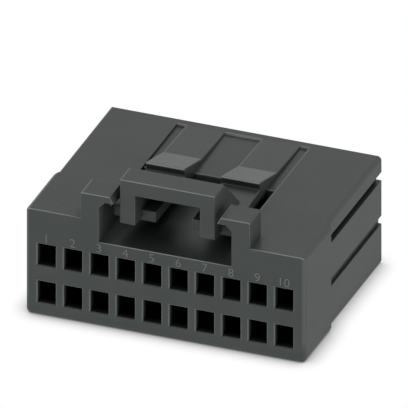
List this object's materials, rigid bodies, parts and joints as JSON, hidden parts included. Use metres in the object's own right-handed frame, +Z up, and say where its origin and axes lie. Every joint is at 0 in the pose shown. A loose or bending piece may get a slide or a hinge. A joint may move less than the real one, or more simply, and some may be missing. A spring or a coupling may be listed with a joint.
{
  "type": "circuit board connector",
  "caption": "Moulded two-row crimp connector housing with square contact cavities, a latch lever with press bar between guard posts, and guide grooves.",
  "frame": {"origin": "centre of the base, under the middle of the overall length and depth", "axes": "+X along the contact rows from position 1 to position 10, +Y from the wire entry face to the mating face, +Z up from the base to the latch lever"},
  "size_m": [0.027, 0.0204, 0.0151],
  "materials": {
    "housing_plastic": "fine matt moulded surface"
  },
  "bodies": {
    "root": {"housing": "housing_plastic"}
  },
  "joints": []
}
